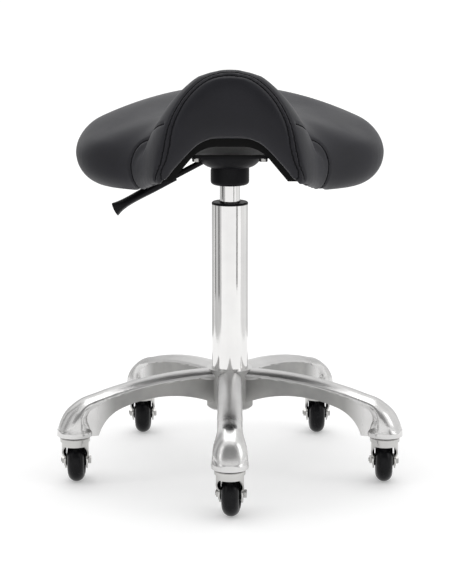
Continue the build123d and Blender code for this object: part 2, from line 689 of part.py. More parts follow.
def down_the_lever():
    """Frame at the lever's pin: local X along the rod, local Z up from it."""
    lean = radians(LEVER_SLOPE)
    return Plane((-LEVER_PIVOT, 0, LEVER_Z), (-cos(lean), 0, -sin(lean)), (-sin(lean), 0, cos(lean)))


def lever_rod():
    """Bent rod: boss on the pin, flat arm over the button, round rod to the paddle."""
    half = LEVER_ARM_WIDTH / 2
    arm_z = BUTTON_TOP + BUTTON_GAP
    boss = Pos(-LEVER_PIVOT, 0, LEVER_Z) * along_y(
        disc(LEVER_BOSS_DIAMETER / 2, -LEVER_BOSS_WIDTH / 2, LEVER_BOSS_WIDTH / 2))
    arm = block(-LEVER_PIVOT, BUTTON_DIAMETER / 2, -half, half, arm_z, arm_z + LEVER_ARM_SHEET)
    rod = down_the_lever() * along_x(disc(LEVER_ROD_DIAMETER / 2, 0, LEVER_ROD_LENGTH))
    hole = along_y(disc(LEVER_PIN_DIAMETER / 2 + RUN_GAP, -LEVER_BOSS_WIDTH, LEVER_BOSS_WIDTH))
    return boss + arm + rod - Pos(-LEVER_PIVOT, 0, LEVER_Z) * hole


def lever_paddle():
    """Moulded paddle on the rod's end, broad and drooping at its tip."""
    neck = LEVER_ROD_DIAMETER / 2 + PADDLE_SOCKET
    broad = PADDLE_WIDTH / 2
    cuts = ((0, neck, neck, 0), (0.3, neck * 1.3, neck, 0), (0.62, broad * 0.92, neck * 0.9, 0),
            (0.86, broad, neck, 0.4), (1, broad * 0.86, PADDLE_TIP / 2, 1))
    faces = []
    for share, half, thick, droop in cuts:
        spot = (PADDLE_START + share * PADDLE_LENGTH, 0, -droop * PADDLE_DROOP)
        faces.append(Plane(spot, (0, 1, 0), (1, 0, 0)) * Ellipse(half, thick))
    body = loft(faces)
    hole = along_x(disc(LEVER_ROD_DIAMETER / 2 + FIT_GAP, 0, LEVER_ROD_LENGTH + FIT_GAP))
    return down_the_lever() * (body - hole)


def seat_bolts():
    """Four hexagon bolts up through plate and pan."""
    head = PLATE_Z - BOLT_WASHER - BOLT_HEAD
    bolt = hexagon(BOLT_HEX, head, head + BOLT_HEAD) + disc(
        BOLT_DIAMETER / 2, head + BOLT_HEAD, PAN_TOP - 2 * TEE_NUT_FLANGE)
    return [spot * bolt for spot in bolt_spots()]


def bolt_washers():
    """Washers under the bolt heads."""
    washer = ring(BOLT_WASHER_DIAMETER / 2, BOLT_DIAMETER / 2 + FIT_GAP, PLATE_Z - BOLT_WASHER, PLATE_Z)
    return [spot * washer for spot in bolt_spots()]


def tee_nuts():
    """Tee nuts let into the top of the pan."""
    inner = BOLT_DIAMETER / 2 + FIT_GAP
    top = PAN_TOP - TEE_NUT_FLANGE
    flange = top - TEE_NUT_FLANGE
    nut = turned((inner, PAN_Z + 1), (TEE_NUT_BARREL / 2, PAN_Z + 1), (TEE_NUT_BARREL / 2, flange),
                 (TEE_NUT_DIAMETER / 2, flange), (TEE_NUT_DIAMETER / 2, top), (inner, top))
    return [spot * nut for spot in bolt_spots()]


# Seat

def across(station, edges):
    """Face across the seat at a station, from edges drawn in X and height over the pan."""
    return Plane((0, station.y, CUSHION_Z), (1, 0, 0), (0, -1, 0)) * make_face(edges)


def cushion_section(station):
    """Outline of the cushion across the seat, without the hollow under it."""
    s = station
    head, centre, side, lean = arched(s.half, s.crown, s.wide, s.radius)
    roll = ((s.half - s.edge) ** 2 + (s.wide - s.low) ** 2) / (2 * (s.half - s.edge))
    turn = degrees(atan2(s.low - s.wide, s.edge - s.half + roll))
    return across(s, [
        arc(head, s.radius, 180 - lean, lean),
        arc(centre, side, lean, 0),
        arc((s.half - roll, s.wide), roll, 0, turn),
        Line((s.edge, s.low), (-s.edge, s.low)),
        arc((roll - s.half, s.wide), roll, 180 - turn, 180),
        arc((-centre[0], centre[1]), side, 180, 180 - lean),
    ])


def hollow_section(station, gap):
    """Outline of the hollow under the cushion, a gap inside the foam and open below."""
    s = station
    run = s.edge - HEM - s.flat
    drop = s.under - s.low
    radius = s.shoulder * (run ** 2 + drop ** 2) / (2 * drop)
    away = sqrt(run ** 2 + (radius - drop) ** 2)
    end = atan2(radius - drop, run) + acos(radius / away)
    length = sqrt(away ** 2 - radius ** 2) + 2 * HEM / cos(end)
    level = s.under - radius
    right = arc((s.flat, level), radius - gap, 90, degrees(end))
    left = arc((-s.flat, level), radius - gap, 180 - degrees(end), 90)
    hem_x = (right @ 1).X + length * sin(end)
    hem_z = (right @ 1).Y - length * cos(end)
    floor = -2 * PAN_SHEET - PAN_DROP - HUB_HEIGHT
    outline = Polyline(right @ 1, (hem_x, hem_z), (hem_x, floor), (-hem_x, floor), (-hem_x, hem_z), left @ 0)
    return across(s, [right, *outline.edges(), left, Line(left @ 1, right @ 0)])


def seat_hollow(gap):
    """Hollow under the cushion, drawn past its front and rear ends."""
    front = STATIONS[0]._replace(y=STATIONS[0].y - 3 * PAN_SHEET)
    rear = STATIONS[-1]._replace(y=STATIONS[-1].y + 3 * PAN_SHEET)
    return loft([hollow_section(s, gap) for s in (front, *STATIONS, rear)])


def seat_cushion():
    """Saddle-shaped foam with its cover: high pommel, dipped middle, drooping wings."""
    return loft([cushion_section(s) for s in STATIONS]) - seat_hollow(0)


def seat_pan():
    """Moulded pan under the cushion, with a flat pad for the mounting plate, drilled for the seat bolts."""
    wide = STATIONS[0].half * 4
    pan = seat_hollow(SOFT_GAP) - seat_hollow(SOFT_GAP + PAN_SHEET)
    pan &= block(-wide, wide, PAN_FRONT, PAN_REAR, PAN_TOP - PAN_DROP, PAN_TOP + wide)
    pad = PAN_PAD / 2
    pan += block(-pad, pad, -pad, pad, PAN_Z, PAN_TOP - PAN_SHEET / 2)
    flange = PAN_TOP - 2 * TEE_NUT_FLANGE
    for spot in bolt_spots():
        pan -= spot * disc(TEE_NUT_BARREL / 2 + FIT_GAP, PAN_Z, PAN_TOP)
        pan -= spot * disc(TEE_NUT_DIAMETER / 2 + FIT_GAP, flange, PAN_TOP + PAN_SHEET)
    return pan


# Export

def save(name, *shapes):
    """Write one named piece, or one group of equal pieces, as a STEP file."""
    solids = [solid for shape in shapes for solid in shape.solids()]
    export_step(Compound(children=solids) if len(solids) > 1 else solids[0], "parts/" + name + ".step")


os.makedirs("parts", exist_ok=True)
places = castor_places()
save("base_casting", base_casting())
save("castor_stems", *[place * castor_stem() for place in places])
save("castor_grip_rings", *[place * grip_ring() for place in places])
save("castor_race_caps", *[place * race_cap() for place in places])
save("castor_balls", *[place * ball for place in places for ball in castor_balls()])
save("castor_dust_washers", *[place * dust_washer() for place in places])
for n, place in enumerate(places, 1):
    save(f"castor_fork_{n}", place * castor_fork())
    save(f"castor_axle_{n}", *[place * piece for piece in castor_axle()])
    save(f"castor_sleeve_{n}", place * castor_sleeve())
    save(f"wheel_core_{n}", place * wheel_core())
    save(f"tyre_{n}", place * tyre())
save("column_tube", column_tube())
save("guide_bush", guide_bush())
save("thrust_washer_lower", thrust_washer(THRUST_Z))
save("thrust_balls", *thrust_balls())
save("thrust_washer_upper", thrust_washer(BUFFER_Z - THRUST_WASHER))
save("rubber_buffer", rubber_buffer())
save("piston_rod", piston_rod())
save("piston", piston())
save("retaining_clip", retaining_clip())
save("end_washer", end_washer())
save("gas_cylinder", gas_cylinder())
save("cylinder_gland", cylinder_gland())
save("release_button", release_button())
save("bell_cover", bell_cover())
save("taper_socket", taper_socket())
save("mounting_plate", mounting_plate())
save("lever_pin", lever_pin())
save("lever_rod", lever_rod())
save("lever_paddle", lever_paddle())
save("seat_bolts", *seat_bolts())
save("bolt_washers", *bolt_washers())
save("tee_nuts", *tee_nuts())
save("seat_pan", seat_pan())
save("seat_cushion", seat_cushion())
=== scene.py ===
import bpy
import bmesh
import json
import math
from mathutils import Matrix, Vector
from mathutils.bvhtree import BVHTree
from mathutils.kdtree import KDTree


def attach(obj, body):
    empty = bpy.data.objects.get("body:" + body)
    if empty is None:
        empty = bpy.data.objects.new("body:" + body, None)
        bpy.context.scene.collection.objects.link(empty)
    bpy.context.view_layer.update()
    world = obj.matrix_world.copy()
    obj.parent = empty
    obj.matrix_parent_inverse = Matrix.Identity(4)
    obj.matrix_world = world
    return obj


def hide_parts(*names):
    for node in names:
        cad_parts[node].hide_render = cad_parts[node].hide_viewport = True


# Saddle stool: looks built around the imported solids, in metres, +Z up, front along -Y.

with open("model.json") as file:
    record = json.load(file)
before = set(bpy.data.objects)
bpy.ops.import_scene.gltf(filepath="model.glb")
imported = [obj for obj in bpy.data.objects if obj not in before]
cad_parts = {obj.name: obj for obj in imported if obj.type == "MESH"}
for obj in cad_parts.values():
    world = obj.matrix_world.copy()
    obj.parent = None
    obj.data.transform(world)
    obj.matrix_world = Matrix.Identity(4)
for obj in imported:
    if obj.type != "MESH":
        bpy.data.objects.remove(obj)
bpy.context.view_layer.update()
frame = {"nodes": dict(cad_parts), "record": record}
nodes = frame["nodes"]
scene = bpy.context.scene

IMAGE_WIDTH = 452
IMAGE_HEIGHT = 584


# Node helpers

def new_material(name):
    """A node material that holds only its principled shader and output."""
    mat = bpy.data.materials.new(name)
    mat.use_nodes = True
    tree = mat.node_tree
    return mat, tree, tree.nodes["Principled BSDF"]


def add(tree, kind, **values):
    """A node with its named properties or sockets set."""
    node = tree.nodes.new(kind)
    for key, value in values.items():
        if key in node.inputs:
            node.inputs[key].default_value = value
        else:
            setattr(node, key, value)
    return node


def object_point(tree):
    """Object coordinates, which on the stool's own pieces are metres in its frame."""
    return add(tree, "ShaderNodeTexCoord").outputs["Object"]


def noise(tree, point, scale, detail=4.0, rough=0.55):
    """Noise over the surface, its scale in features to the metre."""
    node = add(tree, "ShaderNodeTexNoise", Scale=scale, Detail=detail, Roughness=rough)
    tree.links.new(point, node.inputs["Vector"])
    return node.outputs["Fac"]


def cells(tree, point, scale, feature="F1"):
    """Distances of a cell pattern, as in grain or pores."""
    node = add(tree, "ShaderNodeTexVoronoi", feature=feature, Scale=scale)
    tree.links.new(point, node.inputs["Vector"])
    return node.outputs["Distance"]


def spread(tree, value, low, high, start=0.0, end=1.0):
    """Maps a value to another range."""
    node = add(tree, "ShaderNodeMapRange")
    node.inputs["From Min"].default_value = start
    node.inputs["From Max"].default_value = end
    node.inputs["To Min"].default_value = low
    node.inputs["To Max"].default_value = high
    tree.links.new(value, node.inputs["Value"])
    return node.outputs["Result"]


def tint(tree, value, first, second, start=0.3, end=0.7):
    """Two colours spread over a value."""
    ramp = add(tree, "ShaderNodeValToRGB")
    ramp.color_ramp.elements[0].position = start
    ramp.color_ramp.elements[1].position = end
    ramp.color_ramp.elements[0].color = (*first, 1)
    ramp.color_ramp.elements[1].color = (*second, 1)
    tree.links.new(value, ramp.inputs["Fac"])
    return ramp.outputs["Color"]


def sums(tree, first, second, weight):
    """first + weight * second."""
    node = add(tree, "ShaderNodeMath", operation="MULTIPLY_ADD")
    node.inputs[1].default_value = weight
    tree.links.new(second, node.inputs[0])
    tree.links.new(first, node.inputs[2])
    return node.outputs["Value"]


def product(tree, first, second):
    """first * second."""
    node = add(tree, "ShaderNodeMath", operation="MULTIPLY")
    tree.links.new(first, node.inputs[0])
    tree.links.new(second, node.inputs[1])
    return node.outputs["Value"]


def bump(tree, shader, height, strength, distance):
    """Small relief from a height value."""
    node = add(tree, "ShaderNodeBump", Strength=strength, Distance=distance)
    tree.links.new(height, node.inputs["Height"])
    tree.links.new(node.outputs["Normal"], shader.inputs["Normal"])


# Materials

WALL_TILT = (0.03, 0.12)  # upward part of the normal over which a wall of the casting turns into its cap
DULL_RADIUS = (0.17, 0.20)  # from the column, over which the casting turns from dull to polished and its walls lose their painted shade
CAST_ROUGHNESS = (0.17, 0.28)  # of the polished casting
DULL_ROUGHNESS = 0.12  # more towards the hub
SATIN_ROUGHNESS = 0.16  # more again on the walls there
CAST_TONES = ((0.60, 0.595, 0.59), (0.70, 0.695, 0.69))
# Painted shade: darker tones for the casting's walls near the hub, in place of their shade and dark
# reflections.
PAINTED_WALL_SHADE_TONES = ((0.30, 0.30, 0.295), (0.42, 0.415, 0.405))
PLASTIC_SPECULAR = 0.14
LEATHER_SPECULAR = 0.30
LEATHER_ROUGHNESS = (0.40, 0.56)
LEATHER_TONES = ((0.0055, 0.0055, 0.0085), (0.011, 0.0108, 0.0155))
CASTOR_PREFIX = "castor_"


def polished_metal(name, light, dark, rough_low, rough_high, scratch=900):
    """Bright metal with faint polishing marks and patchy gloss."""
    mat, tree, shader = new_material(name)
    point = object_point(tree)
    patch = noise(tree, point, 24, 3)
    marks = noise(tree, point, scratch, 2)
    shader.inputs["Metallic"].default_value = 1.0
    tree.links.new(tint(tree, patch, dark, light), shader.inputs["Base Color"])
    gloss = spread(tree, sums(tree, patch, marks, 0.35), rough_low, rough_high, 0.35, 0.95)
    tree.links.new(gloss, shader.inputs["Roughness"])
    bump(tree, shader, marks, 0.05, 0.0002)
    return mat


def wall_share(tree):
    """1 on upright walls, 0 on what leans further than they do."""
    split = add(tree, "ShaderNodeSeparateXYZ")
    tree.links.new(add(tree, "ShaderNodeNewGeometry").outputs["Normal"], split.inputs[0])
    steep = add(tree, "ShaderNodeMath", operation="ABSOLUTE")
    tree.links.new(split.outputs["Z"], steep.inputs[0])
    return spread(tree, steep.outputs[0], 1.0, 0.0, *WALL_TILT)


def inner_share(tree, point):
    """1 near the column, 0 at the knees and feet."""
    flat = add(tree, "ShaderNodeVectorMath", operation="MULTIPLY")
    flat.inputs[1].default_value = (1, 1, 0)
    tree.links.new(point, flat.inputs[0])
    radius = add(tree, "ShaderNodeVectorMath", operation="LENGTH")
    tree.links.new(flat.outputs[0], radius.inputs[0])
    return spread(tree, radius.outputs["Value"], 1.0, 0.0, *DULL_RADIUS)


def cast_aluminium():
    """Casting polished at its knees and feet, duller towards the hub; its walls there are satin and
    darkened as painted shade.
    """
    mat, tree, shader = new_material("cast_aluminium")
    point = object_point(tree)
    patch = noise(tree, point, 20, 3)
    marks = noise(tree, point, 700, 2)
    grit = noise(tree, point, 2600, 2)
    inner = inner_share(tree, point)
    satin_and_painted_shade = product(tree, wall_share(tree), inner)
    shader.inputs["Metallic"].default_value = 1.0
    # Painted shade and painted dark reflection: the walls near the hub take the darker tones; their extra
    # roughness is real satin.
    colour = add(tree, "ShaderNodeMix", data_type="RGBA")
    tree.links.new(satin_and_painted_shade, colour.inputs["Factor"])
    tree.links.new(tint(tree, patch, *CAST_TONES), colour.inputs["A"])
    tree.links.new(tint(tree, patch, *PAINTED_WALL_SHADE_TONES), colour.inputs["B"])
    tree.links.new(colour.outputs["Result"], shader.inputs["Base Color"])
    shine = spread(tree, sums(tree, patch, marks, 0.35), *CAST_ROUGHNESS, 0.35, 0.95)
    dull = sums(tree, shine, inner, DULL_ROUGHNESS)
    tree.links.new(sums(tree, dull, satin_and_painted_shade, SATIN_ROUGHNESS), shader.inputs["Roughness"])
    bump(tree, shader, sums(tree, marks, grit, 0.6), 0.06, 0.0002)
    return mat


def plastic(name, low, high, rough, grain, depth):
    """Moulded plastic or powder coat with a fine grain."""
    mat, tree, shader = new_material(name)
    shader.inputs["Specular IOR Level"].default_value = PLASTIC_SPECULAR
    point = object_point(tree)
    patch = noise(tree, point, 40, 4)
    fine = noise(tree, point, grain, 3)
    shade = tint(tree, sums(tree, patch, fine, 0.3), low, high, 0.4, 0.9)
    tree.links.new(shade, shader.inputs["Base Color"])
    gloss = spread(tree, sums(tree, patch, fine, 0.5), rough - 0.06, rough + 0.08, 0.4, 1.1)
    tree.links.new(gloss, shader.inputs["Roughness"])
    bump(tree, shader, fine, 0.25, depth)
    return mat


def leather():
    """Soft black upholstery cover with a pebbled grain and fine creases."""
    mat, tree, shader = new_material("seat_leather")
    point = object_point(tree)
    patch = noise(tree, point, 14, 4)
    pebble = cells(tree, point, 900, "SMOOTH_F1")
    crease = cells(tree, point, 420, "DISTANCE_TO_EDGE")
    fine = noise(tree, point, 2400, 2)
    relief = sums(tree, sums(tree, pebble, crease, 0.5), fine, 0.25)
    shade = tint(tree, sums(tree, patch, pebble, 0.25), *LEATHER_TONES, 0.35, 0.85)
    tree.links.new(shade, shader.inputs["Base Color"])
    gloss = spread(tree, sums(tree, patch, relief, 0.25), *LEATHER_ROUGHNESS, 0.35, 1.0)
    tree.links.new(gloss, shader.inputs["Roughness"])
    shader.inputs["Specular IOR Level"].default_value = LEATHER_SPECULAR
    shader.inputs["Sheen Weight"].default_value = 0.02
    shader.inputs["Sheen Roughness"].default_value = 0.45
    shader.inputs["Sheen Tint"].default_value = (0.85, 0.88, 1.0, 1)
    bump(tree, shader, relief, 0.35, 0.00025)
    return mat


looks = {
    "cast": cast_aluminium(),
    "chrome": polished_metal("chrome", (0.80, 0.795, 0.785), (0.74, 0.735, 0.73), 0.03, 0.09),
    "plating": polished_metal("castor_plating", (0.60, 0.595, 0.58), (0.50, 0.495, 0.485), 0.10, 0.20),
    "steel": polished_metal("zinc_steel", (0.46, 0.455, 0.445), (0.36, 0.355, 0.345), 0.14, 0.28, 1400),
    "black_steel": plastic("powder_coat", (0.003, 0.003, 0.004), (0.007, 0.007, 0.009), 0.42, 1500, 0.0002),
    "black_plastic": plastic("moulded_black", (0.003, 0.003, 0.004), (0.008, 0.008, 0.010), 0.42, 2600,
                             0.0001),
    "core": plastic("wheel_nylon", (0.007, 0.007, 0.008), (0.013, 0.013, 0.014), 0.34, 1800, 0.0001),
    "tyre": plastic("tyre_polyurethane", (0.004, 0.004, 0.005), (0.008, 0.008, 0.009), 0.24, 800, 0.0001),
    "rubber": plastic("buffer_rubber", (0.015, 0.015, 0.015), (0.028, 0.028, 0.028), 0.65, 1200, 0.0002),
    "pan": plastic("pan_polypropylene", (0.002, 0.002, 0.002), (0.005, 0.005, 0.005), 0.62, 1100, 0.0003),
    "leather": leather(),
    # Black thread of the stitches, kept darker than the leather partly as painted shade of the seam
    # grooves; on the cord the same colour paints shade into the seams.
    "thread": plastic("thread_and_seam_shade", (0.002, 0.002, 0.003), (0.008, 0.008, 0.010), 0.70, 5000, 0.0001),
}
by_slot = {
    "polished_aluminium": "cast", "chrome": "chrome", "bright_steel": "steel", "black_steel": "black_steel",
    "black_plastic": "black_plastic", "wheel_plastic": "core", "tyre": "tyre", "buffer_rubber": "rubber",
    "bush_plastic": "black_plastic", "pan_plastic": "pan", "cover": "leather",
}
for part in frame["record"]["subparts"]:
    mesh = nodes[part["node"]].data
    look = by_slot[part["material_slot"]]
    if look == "chrome" and part["node"].startswith(CASTOR_PREFIX):
        look = "plating"
    mesh.materials.clear()
    mesh.materials.append(looks[look])


# Seat

VOXEL = 0.0045  # of the cover's even mesh
ROUND_PASSES = 3  # of smoothing over the whole cover
ROLL_PASSES = 24  # of smoothing along the front edges and the hem
ROLL_FRONT = (-0.135, 0.02)  # y where the rolled front starts, and the way over which it sets in
ROLL_HEM = (0.445, 0.015)  # height where the rolled hem starts, and the way over which it sets in
SEAT_SWELL = 0.004  # most that the cover may swell from the foam
HELD_REACH = 0.006  # beside a seam, over which the cover is held while it swells
UNDERSIDE = -0.15  # upward part of the normal below which the cover counts as underside
SWELL_FRAMES = 12  # of the cloth simulation
SWELL_ROUNDS = 40  # of evening out the swelling between neighbours, so that no fold is left
SEAM_DEPTH = 0.0016
SEAM_REACH = 0.0045
WELT = 0.0075  # between the two seams of the front rim
SEAM_STEP = 0.001  # between the points along a seam
EASING = 9  # points on either side that even out the second seam of the rim
STITCH = (5, 1)  # points in a stitch and between two stitches
STITCH_DIP = 1.2  # radii by which a stitch dives at its ends
CORD_RADIUS = 0.0008
THREAD_RADIUS = 0.0010
CORD_SIDES = 6
CURVE_STEPS = 24  # between two given points of a seam
FASCIA_MIDDLE = (0, -0.17, 0.47)  # towards which the second seam of the rim is set

# Points of the seams on the right-hand side: down from the middle of the rim and from the top of the wing.
RIM_SEAM = [(0, -0.156, 0.5765), (0.024, -0.154, 0.572), (0.041, -0.153, 0.562),
            (0.057, -0.153, 0.5445), (0.069, -0.155, 0.5245), (0.077, -0.157, 0.504),
            (0.0825, -0.159, 0.482), (0.0875, -0.158, 0.457), (0.0925, -0.150, 0.432),
            (0.096, -0.142, 0.420)]
WING_SEAM = [(0.086, -0.150, 0.508), (0.097, -0.118, 0.496), (0.106, -0.085, 0.485),
             (0.1155, -0.064, 0.475), (0.125, -0.059, 0.464), (0.1315, -0.062, 0.451),
             (0.1335, -0.067, 0.438), (0.132, -0.071, 0.425), (0.128, -0.073, 0.413),
             (0.121, -0.074, 0.404)]


def spline(points, step):
    """Even points along a smooth curve through the given ones."""
    ends = [points[0] * 2 - points[1], *points, points[-1] * 2 - points[-2]]
    dense = []
    for a, b, c, d in zip(ends, ends[1:], ends[2:], ends[3:]):
        for k in range(CURVE_STEPS):
            t = k / CURVE_STEPS
            dense.append(0.5 * (2 * b + (c - a) * t + (2 * a - 5 * b + 4 * c - d) * t * t
                                + (3 * b - a - 3 * c + d) * t ** 3))
    dense.append(points[-1])
    even = [dense[0]]
    for point in dense:
        while (point - even[-1]).length >= step:
            even.append(even[-1] + (point - even[-1]).normalized() * step)
    return even


def mirrored(points):
    """The same points on the other side of the saddle."""
    return [Vector((-p[0], p[1], p[2])) for p in points]


def applied(obj):
    """Turns an object's modifiers into its mesh."""
    graph = bpy.context.evaluated_depsgraph_get()
    mesh = bpy.data.meshes.new_from_object(obj.evaluated_get(graph))
    obj.modifiers.clear()
    obj.data = mesh


def on_surface(tree, points):
    """Points moved onto the nearest place of a surface, with the normals there."""
    spots = []
    for point in points:
        place, normal, _, _ = tree.find_nearest(point)
        spots.append((place, normal))
    return spots


def seat_cover():
    """The cover over the foam: an even mesh of its shape, with the front edges and the hem rolled."""
    mesh = nodes["seat_cushion"].data.copy()
    obj = bpy.data.objects.new("seat_cover", mesh)
    scene.collection.objects.link(obj)
    remesh = obj.modifiers.new("even", "REMESH")
    remesh.mode = "VOXEL"
    remesh.voxel_size = VOXEL
    applied(obj)
    smooth = obj.modifiers.new("round", "SMOOTH")
    smooth.factor = 0.5
    smooth.iterations = ROUND_PASSES
    applied(obj)
    rolled = obj.vertex_groups.new(name="rolled")
    front, front_blend = ROLL_FRONT
    hem, hem_blend = ROLL_HEM
    for v in obj.data.vertices:
        share = max((front - v.co.y) / front_blend, (hem - v.co.z) / hem_blend)
        if share > 0:
            rolled.add([v.index], min(share, 1.0), "REPLACE")
    smooth = obj.modifiers.new("roll", "SMOOTH")
    smooth.factor = 0.5
    smooth.iterations = ROLL_PASSES
    smooth.vertex_group = "rolled"
    applied(obj)
    return obj


def eased(points, reach):
    """Points averaged with their neighbours along the line."""
    runs = [points[max(k - reach, 0):k + reach + 1] for k in range(len(points))]
    return [sum(run, Vector()) / len(run) for run in runs]


def seam_lines(surface):
    """All seams as lists of (place, normal) on the surface."""
    rim = [Vector(p) for p in RIM_SEAM]
    whole = list(reversed(mirrored(rim[1:]))) + rim
    lines = [on_surface(surface, spline(whole, SEAM_STEP))]
    inner = []
    middle = Vector(FASCIA_MIDDLE)
    for place, normal in lines[0]:
        side = middle - place
        side -= normal * side.dot(normal)
        inner.append(place + side.normalized() * WELT)
    lines.append(on_surface(surface, eased(inner, EASING)))
    for points in ([Vector(p) for p in WING_SEAM], mirrored(WING_SEAM)):
        lines.append(on_surface(surface, spline(points, SEAM_STEP)))
    return lines


def nearest_seam(lines):
    """A search tree over every seam point."""
    places = [place for line in lines for place, _ in line]
    tree = KDTree(len(places))
    for k, place in enumerate(places):
        tree.insert(place, k)
    tree.balance()
    return tree


def swell(obj, seams):
    """Lets the cover swell between its seams, held along them and along its underside."""
    start = [v.co.copy() for v in obj.data.vertices]
    outward = [v.normal.copy() for v in obj.data.vertices]
    held = obj.vertex_groups.new(name="held")
    for v in obj.data.vertices:
        gap = seams.find(v.co)[2]
        weight = max(0.0, 1.0 - gap / HELD_REACH)
        if v.normal.z < UNDERSIDE:
            weight = 1.0
        if weight > 0:
            held.add([v.index], weight, "REPLACE")
    cloth = obj.modifiers.new("swell", "CLOTH")
    cloth.settings.quality = 5
    cloth.settings.mass = 0.3
    cloth.settings.tension_stiffness = 25
    cloth.settings.compression_stiffness = 25
    cloth.settings.shear_stiffness = 15
    cloth.settings.bending_stiffness = 4
    cloth.settings.use_pressure = True
    cloth.settings.uniform_pressure_force = 4
    cloth.settings.vertex_group_mass = "held"
    cloth.settings.effector_weights.gravity = 0
    cloth.collision_settings.use_collision = False
    cloth.point_cache.frame_start = 1
    cloth.point_cache.frame_end = SWELL_FRAMES
    for number in range(1, SWELL_FRAMES + 1):
        scene.frame_set(number)
    applied(obj)
    scene.frame_set(1)
    vertices = obj.data.vertices
    rises = [min(max((v.co - before).dot(way), 0.0), SEAT_SWELL)
             for v, before, way in zip(vertices, start, outward)]
    beside = [[] for _ in vertices]
    for edge in obj.data.edges:
        a, b = edge.vertices
        beside[a].append(b)
        beside[b].append(a)
    for _ in range(SWELL_ROUNDS):
        rises = [0.5 * rise + 0.5 * sum(rises[k] for k in near) / len(near)
                 for rise, near in zip(rises, beside)]
    for v, before, way, rise in zip(vertices, start, outward, rises):
        v.co = before + way * rise


def crease(obj, seams):
    """Draws the cover in along its seams."""
    finer = obj.modifiers.new("finer", "SUBSURF")
    finer.levels = 1
    finer.render_levels = 1
    applied(obj)
    for v in obj.data.vertices:
        gap = seams.find(v.co)[2]
        if gap < SEAM_REACH:
            v.co -= v.normal * SEAM_DEPTH * 0.5 * (1 + math.cos(math.pi * gap / SEAM_REACH))


def tube(name, lines, radius, sides, gaps=None):
    """Thin round cords along lines of points; with gaps, cut into stitches."""
    bm = bmesh.new()
    for line in lines:
        runs = [line]
        if gaps:
            length, skip = gaps
            runs = [line[k:k + length] for k in range(0, len(line) - length, length + skip)]
        for run in runs:
            rings = []
            for k, (place, normal) in enumerate(run):
                ahead = run[min(k + 1, len(run) - 1)][0] - run[max(k - 1, 0)][0]
                ahead.normalize()
                side = ahead.cross(normal).normalized()
                up = side.cross(ahead)
                dip = 0.0
                if gaps and k in (0, len(run) - 1):
                    dip = -STITCH_DIP * radius
                centre = place + up * dip
                rings.append([bm.verts.new(centre + radius * (side * math.cos(a) + up * math.sin(a)))
                              for a in (2 * math.pi * s / sides for s in range(sides))])
            for first, second in zip(rings, rings[1:]):
                for s in range(sides):
                    t = (s + 1) % sides
                    bm.faces.new((first[s], first[t], second[t], second[s]))
            bm.faces.new(list(reversed(rings[0])))
            bm.faces.new(rings[-1])
    mesh = bpy.data.meshes.new(name)
    bm.normal_update()
    bm.to_mesh(mesh)
    bm.free()
    mesh.shade_smooth()
    obj = bpy.data.objects.new(name, mesh)
    scene.collection.objects.link(obj)
    return obj


def surface_of(obj):
    """A search tree over an object's faces."""
    bm = bmesh.new()
    bm.from_mesh(obj.data)
    tree = BVHTree.FromBMesh(bm)
    bm.free()
    return tree


cover = seat_cover()
lines = seam_lines(surface_of(cover))
seams = nearest_seam(lines)
swell(cover, seams)
lines = seam_lines(surface_of(cover))
seams = nearest_seam(lines)
crease(cover, seams)
cover.data.materials.clear()
cover.data.materials.append(looks["leather"])
cover.data.shade_smooth()
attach(cover, "seat")
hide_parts("seat_cushion")

settled = surface_of(cover)
creases = [on_surface(settled, [place for place, _ in line]) for line in lines]
# A dark cord sunk in each seam's crease is painted shade along the seams; the stitches over it are black
# thread.
seam_shade_cords = tube("seat_seam_shade", creases, CORD_RADIUS, CORD_SIDES)
stitches = tube("seat_stitches", creases, THREAD_RADIUS, CORD_SIDES, STITCH)
for sewing in (seam_shade_cords, stitches):
    sewing.data.materials.append(looks["thread"])
    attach(sewing, "seat")


# Light, floor and camera

FLOOR_SIZE = 60
FLOOR_DROP = 0.0002  # under the wheels
GLOW = (0.26, 0.44)  # of the floor, near the stool and away from it
GLOW_REACH = (0.8, 3.0)  # from the column, over which the glow grows
LAMP_TARGET = (0, 0, 0.4)
WORLD_LIGHT = 0.78
FLAG_SHADE = (0.9, 1.1)  # range of a flag's tone over its face


def background_rays(tree):
    """1 for the rays that show the background: seen straight, mirrored or through glass."""
    ray = add(tree, "ShaderNodeLightPath")
    first = add(tree, "ShaderNodeMath", operation="MAXIMUM")
    both = add(tree, "ShaderNodeMath", operation="MAXIMUM")
    tree.links.new(ray.outputs["Is Camera Ray"], first.inputs[0])
    tree.links.new(ray.outputs["Is Glossy Ray"], first.inputs[1])
    tree.links.new(first.outputs[0], both.inputs[0])
    tree.links.new(ray.outputs["Is Transmission Ray"], both.inputs[1])
    return both.outputs[0]


def floor_material():
    """Pale floor that keeps the stool's shadow and glows to white away from it."""
    mat, tree, shader = new_material("floor")
    point = object_point(tree)
    tree.links.new(tint(tree, noise(tree, point, 3, 2), (0.80, 0.80, 0.80), (0.82, 0.82, 0.82)),
                   shader.inputs["Base Color"])
    shader.inputs["Roughness"].default_value = 0.9
    shader.inputs["Specular IOR Level"].default_value = 0.1
    away = add(tree, "ShaderNodeVectorMath", operation="LENGTH")
    tree.links.new(point, away.inputs[0])
    level = spread(tree, away.outputs["Value"], *GLOW, *GLOW_REACH)
    glow = add(tree, "ShaderNodeEmission")
    tree.links.new(product(tree, level, background_rays(tree)), glow.inputs["Strength"])
    both = add(tree, "ShaderNodeAddShader")
    tree.links.new(shader.outputs[0], both.inputs[0])
    tree.links.new(glow.outputs[0], both.inputs[1])
    tree.links.new(both.outputs[0], tree.nodes["Material Output"].inputs["Surface"])
    return mat


